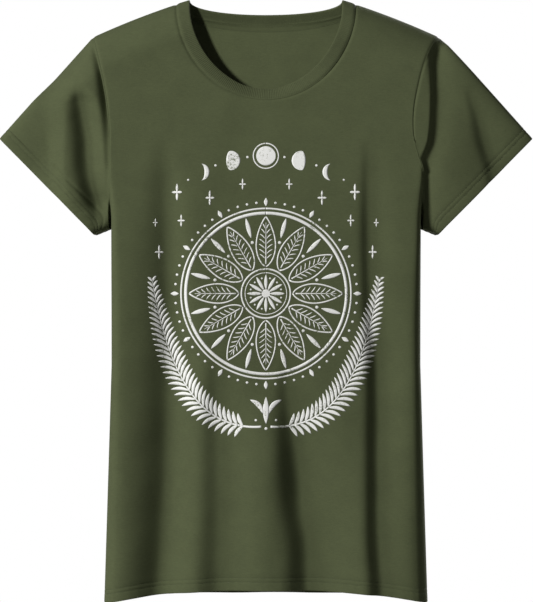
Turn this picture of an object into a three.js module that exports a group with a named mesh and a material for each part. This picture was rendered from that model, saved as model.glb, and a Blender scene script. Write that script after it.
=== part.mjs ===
// A women's crew-neck T-shirt with short sleeves, filled out and hanging as it does when it is worn.
// Millimetres, +Z up. The origin lies midway between the high points of the two shoulders. The front faces -Y,
// and left and right are the wearer's own, so the wearer's left is +X.
import * as THREE from "three";

const { clamp, lerp, smoothstep } = THREE.MathUtils;

// Body, as seen from the front
const BODY_LENGTH = 659;
const SIDE_HALF_WIDTH = 168.7;
const HEM_HALF_WIDTH = 177;
const FLARE_TOP_Z = -400;
const NECK_POINT = { x: 98.3, z: -3.9 };
const SHOULDER_TIP = { x: 190, z: -40 };
const SHOULDER_SLOPE = 0.33;
const ARMPIT_Z = -251;
const ARMHOLE_BEND_Z = -167;

// Body, in depth
const FLATNESS = 24; // power across: 2 is an ellipse, more is flatter in front and squarer at the sides
const CORNER = 4; // root of what that power leaves, which rounds the corners
const CREST = 60; // height over which the shoulders round over from front to back
const ARMHOLE_SPREAD = { rate: 0.15, ease: 24.8 }; // how the chest widens into the armhole, above the armpit
const HEM_BEND = 2.5; // how squarely the hem bends down towards the side seams
const FOLD_FULL = 0.6;

// Sleeves and collar
const SLEEVE_TIP = { x: 291, z: -153 };
const SLEEVE_CORNER = { x: 187, z: -258 };
const SLEEVE_DEPTH = { front: 46, back: 32 }; // at the hem, from the shoulder plane
const SLEEVE_FULLNESS = 2;
const SLEEVE_SQUARENESS = 0.6; // power round the sleeve: 1 is an ellipse, less is flatter in front and behind
const SLEEVE_EASE = 1.6; // how early the sleeve narrows on its way to the hem
const SLEEVE_FOLD_FADE = 25; // height over which a fold starts and ends
const SLEEVE_FOLD_START = 0.12; // share of the sleeve's reach over which folds leave the armhole seam
const RIB_WIDTH = 15;
const RIB_THICKNESS = 1.9;
const RIB_PROUD = 0.35; // above the jersey beside it
const RIB_ROUND = 1.5;
const RIB_TILT = { side: 17, front: 60, back: 46 }; // degrees above level, from the neck seam to the rib's edge

// Cloth and seams
const CLOTH = 0.9;
const GAP = 0.3;
const ALLOWANCE = 8;
const ALLOWANCE_THICKNESS = 0.8;
const BODY_HEM = 17;
const SLEEVE_HEM = 17;
const MOST_OF_SLEEVE = { seam: 0.2, hem: 0.6 }; // where the sleeve is short, under the arm

// Grid of a panel: s runs across from -1 to 1, t up from 0 at the hem to 1 at the shoulder and neck seams
const NECK_SHARE = 0.59;
const ARMPIT_ROW = 0.6;
const NECK_COLUMNS = 11;
const SIDE_COLUMNS = [66, 42, 20]; // distances from the side seam at the armpit
const FANNING = 2.5; // how early the columns draw together on their way up to the neck
const LOWER_ROWS = 9;
const UPPER_ROWS = 9;
const SLEEVE_ROWS = 6;
const STEP = 1e-3; // for slopes, in grid shares
const TURN_STEP = 0.02; // the same for a sleeve, whose seam is level under the arm
const MOSTLY_BACK = 0.9; // share of its own x that a point of a panel faces in towards
const EDGE_SEARCH = { reach: 0.3, steps: 120, halvings: 20 }; // for the row that lies one allowance below the edge

// Depth from the shoulder plane to the middle of each panel, as [height, depth], and the folds that hang in it
const front = {
  side: -1,
  hemRise: 14.6,
  neckDrop: 107.7,
  neckCurve: 1,
  ribTilt: RIB_TILT.front,
  profile: [
    [-659, 66], [-520, 64], [-400, 65], [-270, 70], [-200, 68], [-150, 63], [-110, 57], [-60, 50], [0, 45],
  ],
  folds: [
    { top: { x: -112, z: -140 }, hem: -113, width: 25, depth: 17 },
    { top: { x: -51, z: -400 }, hem: -49, width: 23, depth: 12 },
    { top: { x: 18, z: -410 }, hem: 41, width: 22, depth: 14 },
    { top: { x: 108, z: -140 }, hem: 125, width: 22, depth: 13 },
  ],
};
const back = {
  side: 1,
  hemRise: 4,
  neckDrop: 18.5,
  neckCurve: 1.3,
  ribTilt: RIB_TILT.back,
  profile: [[-659, 62], [-520, 58], [-400, 54], [-250, 60], [-140, 63], [-70, 59], [-22, 53], [0, 50]],
  folds: [
    { top: { x: -118, z: -300 }, hem: -112, width: 17, depth: 8 },
    { top: { x: -34, z: -330 }, hem: -28, width: 18, depth: 7 },
    { top: { x: 40, z: -380 }, hem: 52, width: 17, depth: 7 },
    { top: { x: 116, z: -290 }, hem: 122, width: 15, depth: 8 },
  ],
};

// Folds in the front of each sleeve, each along a path of [height, x] points, from its foot up
const sleeves = [
  {
    name: "right_sleeve",
    side: -1,
    folds: [
      { path: [[-246, -187], [-208, -196], [-153, -200], [-111, -209]], width: 8, depth: 6 },
      { path: [[-190, -172], [-110, -181], [-54, -188]], width: 6, depth: 3 },
    ],
  },
  {
    name: "left_sleeve",
    side: 1,
    folds: [
      { path: [[-245, 178], [-160, 179], [-96, 187], [-48, 188]], width: 7, depth: 7 },
      { path: [[-190, 246], [-144, 233], [-102, 220]], width: 9, depth: 5 },
    ],
  },
];

const evenly = (from, to, count) => Array.from({ length: count + 1 }, (_, i) => lerp(from, to, i / count));

// Value at a place on the smooth curve through [place, value] keys
function through(keys, place) {
  const last = keys.length - 1;
  let k = 1;
  while (k < last && place > keys[k][0]) k++;
  const slope = (i) => {
    const [x0, y0] = keys[Math.max(i - 1, 0)];
    const [x1, y1] = keys[Math.min(i + 1, last)];
    return (y1 - y0) / (x1 - x0);
  };
  const [x0, y0] = keys[k - 1];
  const [x1, y1] = keys[k];
  const u = clamp((place - x0) / (x1 - x0), 0, 1);
  const rise = slope(k - 1) * u * (1 - u) ** 2 - slope(k) * u ** 2 * (1 - u);
  return y0 * (1 + 2 * u) * (1 - u) ** 2 + y1 * u ** 2 * (3 - 2 * u) + rise * (x1 - x0);
}

// Half-width of the body at a height: the side seam below the armpit, the armhole seam above it
function sideEdge(z) {
  const flare = clamp((FLARE_TOP_Z - z) / (FLARE_TOP_Z + BODY_LENGTH), 0, 1);
  const bend = clamp((z - ARMHOLE_BEND_Z) / (SHOULDER_TIP.z - ARMHOLE_BEND_Z), 0, 1);
  const flared = lerp(SIDE_HALF_WIDTH, HEM_HALF_WIDTH, flare);
  return lerp(flared, SHOULDER_TIP.x, bend ** 2);
}

// Height of the shoulder seam, straight towards the neck and bowed down towards the tip
function shoulderLine(x) {
  const run = Math.abs(x) - NECK_POINT.x;
  const span = SHOULDER_TIP.x - NECK_POINT.x;
  const bow = (NECK_POINT.z - SHOULDER_SLOPE * span - SHOULDER_TIP.z) / span ** 2;
  return NECK_POINT.z - SHOULDER_SLOPE * run - (run > 0 ? bow * run ** 2 : 0);
}

// How far the folds of a panel draw it in: each deepens on its way down, and is full from FOLD_FULL of it on
function drawnIn(folds, x, z) {
  return folds.reduce((sum, fold) => {
    const along = clamp((fold.top.z - z) / (fold.top.z + BODY_LENGTH), 0, 1);
    const off = (x - lerp(fold.top.x, fold.hem, along)) / fold.width;
    return sum + fold.depth * smoothstep(along, 0, FOLD_FULL) * Math.exp(-off * off);
  }, 0);
}

// Depth of a panel from the shoulder plane: its profile, rounded off towards the sides and over the shoulders
function depth(panel, x, z) {
  const above = Math.max(0, z - ARMPIT_Z);
  const reach = sideEdge(z) + (ARMHOLE_SPREAD.rate * above ** 4) / (above + ARMHOLE_SPREAD.ease) ** 3;
  const across = Math.max(0, 1 - (Math.abs(x) / reach) ** FLATNESS) ** (1 / CORNER);
  const under = clamp((shoulderLine(x) - z) / CREST, 0, 1);
  const crest = Math.sqrt(1 - (1 - under) ** 2);
  return (through(panel.profile, z) - drawnIn(panel.folds, x, z)) * across * crest;
}

// Angle round the neck at share a from the middle, slowing down towards the shoulder, where the neck seam bends
function neckTurn(a) {
  const left = 1 - a / NECK_SHARE;
  return (Math.PI / 2) * (1 - left ** 2 * (2 - left));
}

// Top edge of a panel at share a from the middle: the neck seam, then the shoulder seam
function topEdge(panel, a) {
  if (a <= NECK_SHARE) {
    const turn = neckTurn(a);
    const drop = panel.neckDrop * Math.max(0, Math.cos(turn)) ** panel.neckCurve;
    return { x: NECK_POINT.x * Math.sin(turn), z: NECK_POINT.z - drop };
  }
  const x = lerp(NECK_POINT.x, SHOULDER_TIP.x, (a - NECK_SHARE) / (1 - NECK_SHARE));
  return { x, z: shoulderLine(x) };
}

// A point of a panel's outer face
function panelPoint(panel, s, t) {
  const a = Math.abs(s);
  const sine = Math.sin((a * Math.PI) / 2);
  const upper = clamp((t - ARMPIT_ROW) / (1 - ARMPIT_ROW), 0, 1);
  const lower = clamp(t / ARMPIT_ROW, 0, 1);
  const top = topEdge(panel, a);
  const seamShare = (1 - Math.cos(Math.PI * upper)) / 2;
  const middleShare = Math.sin((Math.PI / 2) * upper);
  const hemZ = -BODY_LENGTH + panel.hemRise * (1 - sine ** HEM_BEND);
  const seamZ = lerp(lerp(-BODY_LENGTH, ARMPIT_Z, lower), SHOULDER_TIP.z, seamShare);
  const x = sideEdge(seamZ) * lerp(sine, top.x / SHOULDER_TIP.x, upper ** FANNING);
  const topZ = Math.min(top.z, shoulderLine(x));
  const z = lerp(lerp(hemZ, ARMPIT_Z, lower), topZ, lerp(middleShare, seamShare, a ** 4));
  return new THREE.Vector3(Math.sign(s) * x, panel.side * depth(panel, x * Math.sign(s), z), z);
}

// Unit direction into the cloth at (u, v) of a surface, away from its outer face and towards the given point
function inwardAt(surface, u, v, towards, step) {
  const at = surface(u, v);
  const along = surface(u + step, v).sub(surface(u - step, v));
  const up = surface(u, v + step).sub(surface(u, v - step));
  const normal = along.cross(up).normalize();
  return normal.dot(towards.clone().sub(at)) < 0 ? normal.negate() : normal;
}

function panelInward(panel, s, t) {
  const surface = (u, v) => panelPoint(panel, clamp(u, -1, 1), clamp(v, 0, 1));
  const at = panelPoint(panel, s, t);
  const towards = new THREE.Vector3(at.x * MOSTLY_BACK, 0, Math.min(at.z, ARMPIT_Z));
  const inward = inwardAt(surface, s, t, towards, STEP);
  const onSeam = Math.abs(s) === 1 || (t === 1 && Math.abs(s) >= NECK_SHARE);
  return onSeam ? inward.setY(0).normalize() : inward;
}

// A point of a sleeve's outer face. Turn goes round from 0 under the arm, over the front to PI at the shoulder;
// reach goes from 0 at the armhole to 1 at the hem.
function sleevePoint(sleeve, turn, reach) {
  const panel = Math.sin(turn) >= 0 ? front : back;
  const seamZ = lerp(ARMPIT_Z, SHOULDER_TIP.z, (1 - Math.cos(turn)) / 2);
  const seamX = sideEdge(seamZ);
  const seamY = panel.side * depth(panel, seamX * sleeve.side, seamZ);
  const share = (1 - Math.cos(turn)) / 2;
  const x = lerp(seamX, lerp(SLEEVE_CORNER.x, SLEEVE_TIP.x, share), reach);
  const z = lerp(seamZ, lerp(SLEEVE_CORNER.z, SLEEVE_TIP.z, share), reach);
  const bulge = Math.sign(Math.sin(turn)) * Math.abs(Math.sin(turn)) ** SLEEVE_SQUARENESS;
  const full = SLEEVE_FULLNESS * Math.sin(Math.PI * reach);
  const halfDepth = panel === front ? SLEEVE_DEPTH.front : SLEEVE_DEPTH.back;
  const narrowed = 1 - (1 - reach) ** SLEEVE_EASE;
  const y = lerp(seamY, -halfDepth * bulge, narrowed) - full * bulge;
  const facing = Math.max(0, Math.sin(turn)) * smoothstep(reach, 0, SLEEVE_FOLD_START);
  const creased = sleeve.folds.reduce((sum, fold) => {
    const off = (sleeve.side * x - through(fold.path, z)) / fold.width;
    const from = smoothstep(z, fold.path[0][0] - SLEEVE_FOLD_FADE, fold.path[0][0]);
    const end = fold.path.at(-1)[0];
    const to = 1 - smoothstep(z, end - SLEEVE_FOLD_FADE, end);
    return sum + fold.depth * from * to * Math.exp(-off * off);
  }, 0);
  return new THREE.Vector3(sleeve.side * x, y + creased * facing, z);
}

function sleeveInward(sleeve, turn, reach) {
  const surface = (u, v) => sleevePoint(sleeve, u, clamp(v, 0, 1));
  const centre = sleevePoint(sleeve, 0, reach).lerp(sleevePoint(sleeve, Math.PI, reach), 0.5);
  return inwardAt(surface, turn, reach, centre, TURN_STEP);
}

// At the armhole the body and the sleeve turn in along one shared direction, so neither cuts into the other
function armholeInward(panel, side, t) {
  const sleeve = sleeves.find((each) => each.side === side);
  const turn = -panel.side * Math.PI * clamp((t - ARMPIT_ROW) / (1 - ARMPIT_ROW), 0, 1);
  const body = panelInward(panel, side, Math.max(t, ARMPIT_ROW + STEP));
  const arm = sleeveInward(sleeve, turn, 0);
  const shared = body.add(arm);
  return (t >= 1 || t <= ARMPIT_ROW ? shared.setY(0) : shared).normalize();
}

// Row at which a column of a panel is the seam allowance away from its top edge
function allowanceRow(panel, s) {
  const { reach, steps, halvings } = EDGE_SEARCH;
  const near = evenly(Math.max(-1, s - reach), Math.min(1, s + reach), steps);
  const edge = near.map((u) => panelPoint(panel, u, 1));
  let [low, high] = [ARMPIT_ROW, 1];
  for (let round = 0; round < halvings; round++) {
    const middle = (low + high) / 2;
    const point = panelPoint(panel, s, middle);
    if (Math.min(...edge.map((each) => each.distanceTo(point))) > ALLOWANCE) low = middle;
    else high = middle;
  }
  return (low + high) / 2;
}

// Share at which a column lies a distance along the cloth from the side seam, at the armpit
function shareFromSide(distance) {
  const at = (share) => panelPoint(front, share, ARMPIT_ROW);
  const step = STEP / 10;
  let share = 1;
  for (let run = 0; run < distance; share -= step) run += at(share).distanceTo(at(share - step));
  return share;
}

const halfColumns = [...evenly(0, NECK_SHARE, NECK_COLUMNS), ...SIDE_COLUMNS.map(shareFromSide), 1];
const columnPlaces = [...halfColumns.slice(1).reverse().map((s) => -s), ...halfColumns];
const hemRow = (BODY_HEM / (ARMPIT_Z + BODY_LENGTH)) * ARMPIT_ROW;
const lowerRows = [0, ...evenly(hemRow, ARMPIT_ROW, LOWER_ROWS)];
const upperRows = (panel, s) => [...evenly(ARMPIT_ROW, allowanceRow(panel, s), UPPER_ROWS).slice(1), 1];

function onPanel(panel, s, t) {
  const atArmhole = Math.abs(s) === 1 && t >= ARMPIT_ROW;
  return { at: panelPoint(panel, s, t), inward: (atArmhole ? armholeInward : panelInward)(panel, s, t) };
}

const panelGrid = (panel) =>
  columnPlaces.map((s) => [...lowerRows, ...upperRows(panel, s)].map((t) => onPanel(panel, s, t)));

// Columns of a sleeve stand on the body's rows round the armhole: up the front, then down the back
function sleeveGrid(sleeve) {
  const turns = (panel) =>
    upperRows(panel, sleeve.side).map((t) => (Math.PI * (t - ARMPIT_ROW)) / (1 - ARMPIT_ROW));
  const around = [0, ...turns(front), ...turns(back).slice(0, -1).reverse().map((turn) => -turn)];
  return around.map((turn) => {
    const length = sleevePoint(sleeve, turn, 0).distanceTo(sleevePoint(sleeve, turn, 1));
    const seam = Math.min(ALLOWANCE, length * MOST_OF_SLEEVE.seam) / length;
    const hem = 1 - Math.min(SLEEVE_HEM, length * MOST_OF_SLEEVE.hem) / length;
    const panel = turn >= 0 ? front : back;
    const row = lerp(ARMPIT_ROW, 1, Math.abs(turn) / Math.PI);
    return [0, ...evenly(seam, hem, SLEEVE_ROWS), 1].map((reach) => ({
      at: sleevePoint(sleeve, turn, reach),
      inward: reach ? sleeveInward(sleeve, turn, reach) : armholeInward(panel, sleeve.side, row),
    }));
  });
}

// The rib grows out of the neck seam towards the neck: right round, front first
function neckRound() {
  const neck = columnPlaces.filter((s) => Math.abs(s) <= NECK_SHARE);
  return [
    ...neck.map((s) => ({ panel: front, s })),
    ...neck.slice(1, -1).reverse().map((s) => ({ panel: back, s })),
  ];
}

// Section of the rib: how far along it from the seam, how far out, and 1 where it stands on the panel's edge
const collarSection = [
  [0, RIB_PROUD, 1],
  [RIB_WIDTH - RIB_ROUND, RIB_PROUD, 0],
  [RIB_WIDTH, RIB_PROUD - RIB_THICKNESS / 2, 0],
  [RIB_WIDTH - RIB_ROUND, RIB_PROUD - RIB_THICKNESS, 0],
  [0, RIB_PROUD - RIB_THICKNESS, 1],
];

function collarGeometry() {
  const around = neckRound().map(({ panel, s }) => {
    const seam = panelPoint(panel, s, 1);
    const turn = Math.sign(s) * neckTurn(Math.abs(s));
    const middle = Math.cos(turn) ** 2;
    const tilt = THREE.MathUtils.degToRad(lerp(RIB_TILT.side, panel.ribTilt, middle));
    const level = new THREE.Vector3(-Math.sin(turn), -panel.side * Math.cos(turn), 0).normalize();
    const rise = level.clone().multiplyScalar(Math.cos(tilt)).setZ(Math.sin(tilt));
    const outward = level.clone().multiplyScalar(-Math.sin(tilt)).setZ(Math.cos(tilt));
    const panelOut = panelInward(panel, s, 1).negate();
    return collarSection.map(([along, out, onPanel]) =>
      seam
        .clone()
        .addScaledVector(rise, along + GAP / 2)
        .addScaledVector(onPanel ? panelOut : outward, out),
    );
  });
  const faces = [];
  const count = around.length;
  const sides = collarSection.length;
  for (let i = 0; i < count; i++) {
    for (let j = 0; j < sides; j++) {
      const here = i * sides;
      const next = ((i + 1) % count) * sides;
      const up = (j + 1) % sides;
      faces.push(here + j, next + j, next + up, here + j, next + up, here + up);
    }
  }
  return solid(around.flat(), faces);
}

// Closed geometry whose faces point out
function solid(points, faces) {
  const [a, b, c] = [0, 1, 2].map(() => new THREE.Vector3());
  let volume = 0;
  for (let i = 0; i < faces.length; i += 3) {
    a.copy(points[faces[i]]);
    b.copy(points[faces[i + 1]]);
    c.copy(points[faces[i + 2]]);
    volume += a.dot(b.cross(c));
  }
  const geometry = new THREE.BufferGeometry().setFromPoints(points);
  geometry.setIndex(volume > 0 ? faces : faces.reverse());
  geometry.computeVertexNormals();
  return geometry;
}

// Draws the border of a grid back by half a gap, so that neighbours don't touch
function eased(grid, closed) {
  const columns = grid.length;
  const rows = grid[0].length;
  const beside = (i) => (closed ? (i + columns) % columns : clamp(i, 0, columns - 1));
  // Square to the border that runs from one point to another, on the side of the given neighbour
  const square = (point, from, to, neighbour) => {
    const step = to.at.clone().sub(from.at).cross(point.inward).setLength(GAP / 2);
    return neighbour.at.clone().sub(point.at).dot(step) < 0 ? step.negate() : step;
  };
  return grid.map((column, i) =>
    column.map((point, j) => {
      const at = point.at.clone();
      const [before, after] = [grid[beside(i - 1)][j], grid[beside(i + 1)][j]];
      if (j === 0) at.add(square(point, before, after, column[1]));
      if (j === rows - 1) at.add(square(point, before, after, column[rows - 2]));
      const below = column[Math.max(j - 1, 0)];
      const above = column[Math.min(j + 1, rows - 1)];
      if (!closed && i === 0) at.add(square(point, below, above, grid[1][j]));
      if (!closed && i === columns - 1) at.add(square(point, below, above, grid[columns - 2][j]));
      return { at, inward: point.inward };
    }),
  );
}

// Cloth between two depths under a grid of points: two faces and a wall along each free edge
function clothGeometry(grid, { outer = 0, inner = CLOTH, closed = false } = {}) {
  const drawn = eased(grid, closed);
  const columns = drawn.length;
  const rows = drawn[0].length;
  const points = [outer, inner].flatMap((depth) =>
    drawn.flat().map(({ at, inward }) => at.clone().addScaledVector(inward, depth)),
  );
  const index = (layer, i, j) => (layer * columns + (i % columns)) * rows + j;
  const faces = [];
  const quad = (a, b, c, d) => faces.push(a, b, c, a, c, d);
  for (let i = 0; i < (closed ? columns : columns - 1); i++) {
    for (let j = 0; j < rows - 1; j++) {
      quad(index(0, i, j), index(0, i + 1, j), index(0, i + 1, j + 1), index(0, i, j + 1));
      quad(index(1, i, j), index(1, i, j + 1), index(1, i + 1, j + 1), index(1, i + 1, j));
    }
    const end = rows - 1;
    quad(index(0, i + 1, 0), index(0, i, 0), index(1, i, 0), index(1, i + 1, 0));
    quad(index(0, i, end), index(0, i + 1, end), index(1, i + 1, end), index(1, i, end));
  }
  for (let j = 0; !closed && j < rows - 1; j++) {
    const end = columns - 1;
    quad(index(0, 0, j), index(0, 0, j + 1), index(1, 0, j + 1), index(1, 0, j));
    quad(index(0, end, j + 1), index(0, end, j), index(1, end, j), index(1, end, j + 1));
  }
  return solid(points, faces);
}

// A layer sewn to the inside of a panel or sleeve, one gap under it
const inside = { outer: CLOTH + GAP, inner: CLOTH + GAP + ALLOWANCE_THICKNESS };

const jersey = new THREE.MeshStandardMaterial({ color: 0x4f563a, roughness: 0.95, metalness: 0 });
const rib = new THREE.MeshStandardMaterial({ color: 0x50573a, roughness: 0.95, metalness: 0 });
const tape = new THREE.MeshStandardMaterial({ color: 0x4a5136, roughness: 0.9, metalness: 0 });

const shirt = new THREE.Group();

function add(name, geometry, material = jersey) {
  const mesh = new THREE.Mesh(geometry, material);
  mesh.name = name;
  shirt.add(mesh);
}

function addPanel(name, grid) {
  add(`${name}_panel`, clothGeometry(grid));
  add(`${name}_hem`, clothGeometry(grid.map((column) => column.slice(0, 2)), inside));
}

const frontGrid = panelGrid(front);
const backGrid = panelGrid(back);
addPanel("front", frontGrid);
addPanel("back", backGrid);

// Seam allowances of the body lie on its back panel, and the neck's on the front, inside
const topStrip = (grid, from, to) =>
  grid.filter((_, i) => columnPlaces[i] >= from && columnPlaces[i] <= to).map((column) => column.slice(-2));
add("neck_tape", clothGeometry(topStrip(backGrid, -NECK_SHARE, NECK_SHARE), inside), tape);
add("neck_seam", clothGeometry(topStrip(frontGrid, -NECK_SHARE, NECK_SHARE), inside));
for (const [name, side] of [["right", -1], ["left", 1]]) {
  const shoulder = side < 0 ? [-1, -NECK_SHARE] : [NECK_SHARE, 1];
  add(`${name}_shoulder_seam`, clothGeometry(topStrip(backGrid, ...shoulder), inside));
  const edge = [side * shareFromSide(ALLOWANCE), side].sort((a, b) => a - b);
  const sideSeam = edge.map((s) => lowerRows.slice(1, -1).map((t) => onPanel(back, s, t)));
  add(`${name}_side_seam`, clothGeometry(sideSeam, inside));
}

for (const sleeve of sleeves) {
  const grid = sleeveGrid(sleeve);
  const ring = (from, to) => grid.map((column) => column.slice(from, to));
  add(sleeve.name, clothGeometry(grid, { closed: true }));
  add(`${sleeve.name}_hem`, clothGeometry(ring(-2), { ...inside, closed: true }));
  add(`${sleeve.name}_armhole_seam`, clothGeometry(ring(0, 2), { ...inside, closed: true }));
}

add("collar", collarGeometry(), rib);

export default shirt;
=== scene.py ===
"""A women's crew-neck T-shirt in olive cotton jersey, hanging as it is worn, with a white chest print.

Every shape is worked out in millimetres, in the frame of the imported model, and becomes metres in its mesh.
Left and right are the wearer's own: the wearer's left is +X, and the chest faces -Y."""
import math

import bpy
import numpy as np
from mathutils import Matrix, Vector


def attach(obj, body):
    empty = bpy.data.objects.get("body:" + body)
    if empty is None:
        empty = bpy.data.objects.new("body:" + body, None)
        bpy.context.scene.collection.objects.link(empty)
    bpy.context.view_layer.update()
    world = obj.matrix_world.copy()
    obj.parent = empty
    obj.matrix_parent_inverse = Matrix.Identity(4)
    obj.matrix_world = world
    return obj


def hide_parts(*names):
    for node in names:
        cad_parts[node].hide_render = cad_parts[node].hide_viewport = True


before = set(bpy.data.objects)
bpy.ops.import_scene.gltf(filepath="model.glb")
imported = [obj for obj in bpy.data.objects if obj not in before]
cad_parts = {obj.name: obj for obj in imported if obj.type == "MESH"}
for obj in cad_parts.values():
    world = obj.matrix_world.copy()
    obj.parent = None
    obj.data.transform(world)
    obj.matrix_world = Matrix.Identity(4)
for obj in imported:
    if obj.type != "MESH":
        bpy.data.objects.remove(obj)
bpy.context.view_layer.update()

MM = 0.001

# The photograph: 533 by 602 pixels, square on to the chest
PHOTO_HEIGHT = 602
PIXEL = 1.10  # mm at the plane of the shoulders
CAMERA = (0.55, -4000, -330)

# Body, as seen from the front
BODY_LENGTH = 659
SIDE_HALF_WIDTH = 168.7
HEM_HALF_WIDTH = 177
FLARE_TOP_Z = -400
NECK_X, NECK_Z = 98.3, -3.9
TIP_X, TIP_Z = 190, -40
SHOULDER_SLOPE = 0.33
ARMPIT_Z = -251
ARMHOLE_BEND_Z = -167
LEFT_BOW = [
    (-200, 0), (-188, 0.5), (-169, 6), (-150, 9.5), (-125, 11), (-97, 10), (-70, 8.5), (-50, 5), (-40, 0),
]

# Body, in depth: a power across, by height, then a root of what it leaves, which rounds the corners
FLATNESS = [(-659, 16), (-540, 26), (-430, 42), (-330, 50), (-250, 90), (-180, 110), (-140, 70), (-100, 36)]
CORNER = 4
CREST = 45  # how far below the shoulder seam the cloth begins to turn over the shoulder
SPREAD_RATE = 0.15  # how much wider than the armhole seam the flat front runs above the armpit
SPREAD_EASE = 14
HEM_BEND = 2.5

# Sleeves and collar
SLEEVE_TIP = (291, -153)
SLEEVE_CORNER = (187, -258)
SLEEVE_FRONT = 46  # depth at the hem
SLEEVE_BACK = 32
SLEEVE_FULLNESS = 2
SLEEVE_SQUARENESS = 0.6  # power round the sleeve: 1 is an ellipse, less is flatter
SLEEVE_EASE = 1.6
SLEEVE_STEP = [  # depth of the front of the left sleeve past its step, by height
    (-242, 61), (-200, 62), (-175, 60.5), (-147, 56.5), (-128, 54),
    (-110, 52), (-92, 51), (-75, 48), (-55, 36), (-42, 20),
]
STEP_RISE = (-11, -5)  # distances from the line of the step over which it rises
STEP_END = (0.6, 0.95)  # reaches over which it runs out
FRONT_SQUARENESS = 0.12  # the power round a sleeve's front, near the body
UNDERARM_FRONT = 64  # depth of a sleeve's front under the arm
# Shares of the right sleeve's height over which its front goes from that depth to the body's, and over
# which it narrows later and later
BODY_ROWS = (0.15, 0.4)
NARROWING_ROWS = (0.3, 0.9)
SHALLOW_WIDTH = 0.35  # width of a fold where it starts, as a share of its own
RIB_WIDTH = 15
RIB_THICKNESS = 1.9
RIB_PROUD = 0.35
RIB_TILT_SIDE = 17
RIB_LEAN = (2, 30)  # backwards from the cloth of the front, at the sides of the neck and in the middle
RIB_TURNED = 10  # outwards, at the left of the neck
RIB_OVERLAP = 0.5  # of the tape, at the back
RIB_RELIEF = 0.17
RIBS = 312
PER_RIB = 6

# Cloth and seams
JERSEY = 0.7
INNER_CLOTH = 0.5
LAYER_GAP = 0.25
HEM = 17
TWIN_NEEDLE = (9.8, 14.4)
PRESSED_LINE = (23.5, 13.5)  # under the arm and at the sleeve's tip
SEAM_DIP = 0.9
SEAM_SPREAD = 1.9
STITCH_DIP = 0.32
STITCH_SPREAD = 0.8
STITCH_ROWS = np.array([-1.3, -0.55, 0, 0.55, 1.3])
PUCKER = 0.16
ALLOWANCE = 8
THREAD_RADIUS = 0.17
STITCH_PITCH = 3.0
STITCH_LENGTH = 2.5
STITCH_LIFT = 0.05
STITCH_ARCH = 0.12
TAPE_STITCH = 7.2

# Shares of a panel's grid: s runs across from -1 to 1, t up from 0 at the hem to 1 at the top seams
NECK_SHARE = 0.59
ARMPIT_ROW = 0.6
FANNING = 2
STEP = 1e-3
TURN_STEP = 0.02
SHARED = 5  # mm beside a seam over which both cloths turn into one direction
TOP_ROWS = 40  # of the grid, near enough to the top seams to be in their groove

# Print and studio
INK_TOP = 0.14
INK_FOOT = 0.1  # below the face of the cloth
INK_STEP = 0.004
INK_GRID = 1.8
MEDALLION = (0, -322)
MOON_ARC = 149
PETAL_FOOT = 29
PETAL_TIP = 83
PETAL_SPREAD = 10.5
FROND = ((5, -466), (98, -474), (123, -306))
SPARKS = ((121, 0.21, 6), (120, 0.53, 8), (146, 0.72, 9), (121, 0.86, 6.5), (124, 1.2, 7.5), (142, 1.0, 4.5))
MIDDLE = (0, 0, -0.33)
WORLD_LIGHT = 0.165
FLOOR_Z = -1.4
FLOOR_RADIUS = 7

BODY = "root"


def lerp(low, high, share):
    return low + (high - low) * share


def clamp(value):
    return np.clip(value, 0, 1)


def smoothstep(value, low, high):
    share = clamp((value - low) / (high - low))
    return share * share * (3 - 2 * share)


def stacked(*parts):
    return np.stack(parts, -1)


def through(keys, place):
    """The smooth curve through (place, value) keys: a cubic from each key to the next, whose slope at a key
    is that of the line between its two neighbours."""
    x, y = np.array(keys, float).T
    index = np.arange(len(x))
    before, after = np.maximum(index - 1, 0), np.minimum(index + 1, len(x) - 1)
    slope = (y[after] - y[before]) / (x[after] - x[before])
    k = np.clip(np.searchsorted(x, place), 1, len(x) - 1)
    span = x[k] - x[k - 1]
    u = clamp((place - x[k - 1]) / span)
    start = y[k - 1] * (1 + 2 * u) + slope[k - 1] * span * u
    end = y[k] * (3 - 2 * u) - slope[k] * span * (1 - u)
    return start * (1 - u) ** 2 + end * u**2


def fold(path, depth, left, right, power=(2, 2), edge=3.0):
    """A fold that draws the cloth in along a path of (height, x), by a depth given as (height, depth), and
    runs out over a width on each side, with a power that says how sharply: narrower where it is shallow."""
    return {"path": path, "depth": depth, "width": (left, right), "power": power, "edge": edge}


def drawn_in(folds, x, z):
    """Sum of the folds: each falls off as exp(-(distance / width) ** power), its crease rounded."""
    total = np.zeros(np.broadcast(x, z).shape)
    for each in folds:
        off = x - through(each["path"], z)
        deep = through(each["depth"], z)
        peak = max((key[1] for key in each["depth"]), key=abs)
        width, power = (np.where(off < 0, *each[part]) for part in ("width", "power"))
        width = width * lerp(SHALLOW_WIDTH, 1, clamp(deep / peak))
        total += deep * np.exp(-(((np.hypot(off, each["edge"]) - each["edge"]) / width) ** power))
    return total


def soft_waves(x, z, seed, height, length):
    """Shallow waves in the hang of the cloth: six sines of seeded direction, mostly across."""
    rng = np.random.default_rng(seed)
    total = np.zeros(np.broadcast(x, z).shape)
    for _ in range(6):
        angle = rng.normal(0, 0.5)
        wave = length * rng.uniform(0.7, 1.5)
        run = (x * math.cos(angle) + z * math.sin(angle)) * 2 * math.pi / wave
        total += np.sin(run + rng.uniform(0, 2 * math.pi))
    return total * height / math.sqrt(6)


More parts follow.
